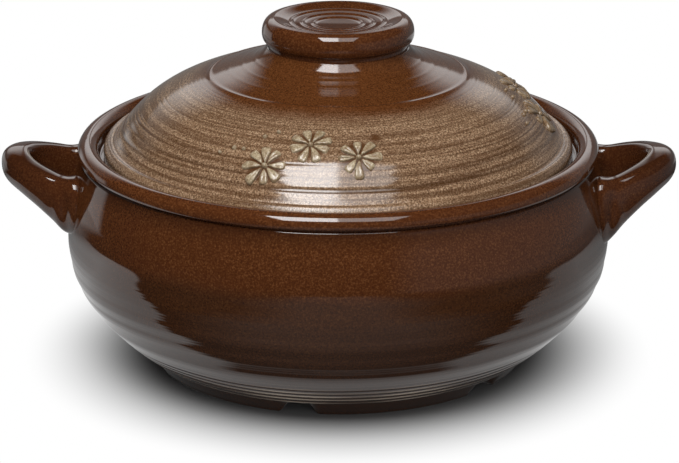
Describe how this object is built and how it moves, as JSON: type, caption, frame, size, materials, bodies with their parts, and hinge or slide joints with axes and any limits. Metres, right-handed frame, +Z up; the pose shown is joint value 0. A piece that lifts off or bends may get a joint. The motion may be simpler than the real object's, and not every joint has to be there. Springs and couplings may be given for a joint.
{
  "type": "lidded stoneware pot",
  "caption": "Round brown-glazed stoneware pot on a notched foot ring, with a loop handle on each side and a loose domed lid that carries a dished knob and applied daisies.",
  "frame": {"origin": "on the table under the middle of the pot", "axes": "+X from the pot's axis to the right handle, +Z up along the pot's axis, the front with the first daisies faces -Y"},
  "size_m": [0.2736, 0.22, 0.1405],
  "materials": {
    "brown_glaze": "gloss",
    "combed_wash": "satin",
    "petal_slip": "satin"
  },
  "bodies": {
    "pot": {"bowl": "brown_glaze", "foot_ring": "brown_glaze", "left_handle": "brown_glaze", "right_handle": "brown_glaze"},
    "cover": {"lid": "combed_wash", "lid_knob": "brown_glaze", "daisy_1_low": "petal_slip", "daisy_1_top": "petal_slip", "daisy_1_mid": "petal_slip", "daisy_2_low": "petal_slip", "daisy_2_top": "petal_slip", "daisy_2_mid": "petal_slip", "daisy_3_low": "petal_slip", "daisy_3_top": "petal_slip", "daisy_3_mid": "petal_slip"}
  },
  "joints": [
    {"name": "lid_lift", "type": "slide", "parent": "pot", "child": "cover", "axis": [0, 0, 1], "range_m": [0, 0.12]}
  ]
}
